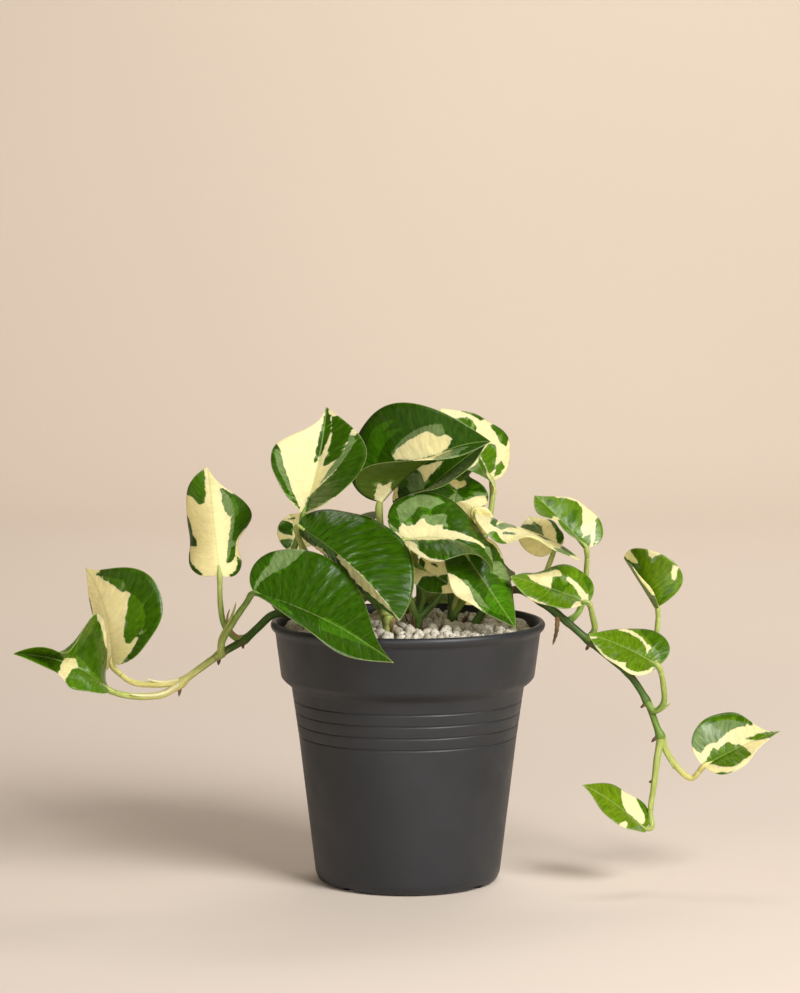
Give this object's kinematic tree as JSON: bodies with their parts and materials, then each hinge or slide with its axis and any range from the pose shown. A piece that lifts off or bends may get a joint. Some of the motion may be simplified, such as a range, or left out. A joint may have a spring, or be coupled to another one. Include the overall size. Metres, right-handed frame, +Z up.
{
  "type": "potted trailing pothos plant",
  "caption": "Trailing pothos with heart-shaped cream and green leaves, rooted under pumice in a ribbed plastic nursery pot with a deep collar.",
  "frame": {"origin": "middle of the pot's flat underside", "axes": "+Z up along the pot's axis, -Y towards the viewer of the picture, +X to the picture's right"},
  "size_m": [0.4108, 0.1918, 0.2622],
  "materials": {
    "pot_plastic": "satin",
    "potting_mix": "matte",
    "pumice": "matte",
    "vine": "satin",
    "crown_stem": "satin",
    "leaf_green": "gloss",
    "leaf_cream": "satin"
  },
  "bodies": {
    "root": {"pot": "pot_plastic", "potting_mix": "potting_mix", "pumice_topping": "pumice", "vine_left": "vine", "vine_right": "vine", "crown_stem_left": "crown_stem", "crown_stem_front": "crown_stem", "crown_stem_right": "crown_stem", "crown_stem_back": "crown_stem", "leaf_left_upright": "leaf_cream", "leaf_left_cream": "leaf_cream", "leaf_left_end": "leaf_green", "leaf_front_left": "leaf_green", "leaf_crown_left": "leaf_cream", "leaf_left_inner": "leaf_cream", "leaf_front_centre": "leaf_green", "leaf_crown_top": "leaf_green", "leaf_crown_under_top": "leaf_green", "leaf_crown_right": "leaf_cream", "leaf_front_right_upper": "leaf_green", "leaf_front_right_lower": "leaf_green", "leaf_inner_right": "leaf_green", "leaf_inner_cream": "leaf_cream", "leaf_right_edge_on": "leaf_cream", "leaf_right_small": "leaf_cream", "leaf_right_upper": "leaf_green", "leaf_right_over_rim": "leaf_cream", "leaf_right_middle": "leaf_green", "leaf_right_upright": "leaf_green", "leaf_right_outer": "leaf_green", "leaf_right_lowest": "leaf_green", "leaf_inner_front": "leaf_cream", "leaf_back_left": "leaf_green", "leaf_back_centre": "leaf_green", "leaf_back_right": "leaf_green", "leaf_back_low_left": "leaf_green", "leaf_back_low_right": "leaf_green"}
  },
  "joints": []
}
